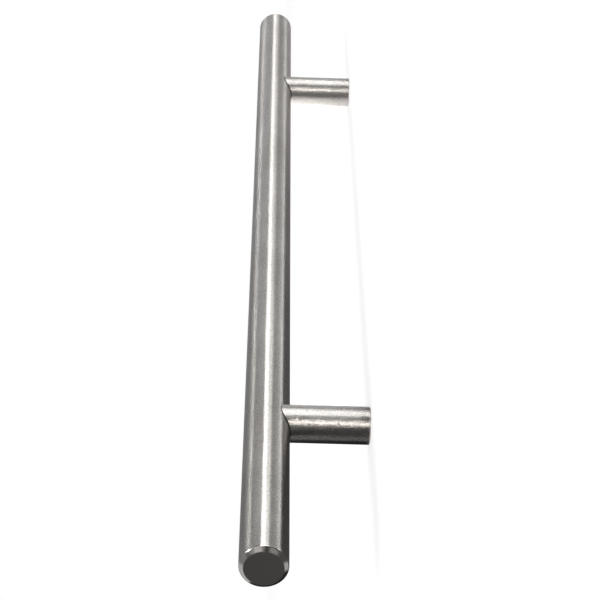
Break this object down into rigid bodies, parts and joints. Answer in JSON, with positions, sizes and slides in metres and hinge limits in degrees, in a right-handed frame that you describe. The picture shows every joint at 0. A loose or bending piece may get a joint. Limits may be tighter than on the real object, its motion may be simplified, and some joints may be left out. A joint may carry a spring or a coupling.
{
  "type": "t-bar cabinet pull",
  "caption": "Straight round bar pull with chamfered ends, carried on coped round posts with tapped feet, in satin brushed steel.",
  "frame": {"origin": "midway between the two post axes, on the mounting plane that the feet of the posts rest on", "axes": "+X along the grip bar, +Z out of the drawer front, from the feet to the bar"},
  "size_m": [0.35, 0.012, 0.033],
  "materials": {
    "bar_steel": "satin, brushed round the bar",
    "post_steel": "satin, brushed round the post",
    "stud_steel": "black oxide"
  },
  "bodies": {
    "root": {"grip_bar": "bar_steel", "left_post": "post_steel", "right_post": "post_steel", "left_post_stud": "stud_steel", "right_post_stud": "stud_steel"}
  },
  "joints": []
}
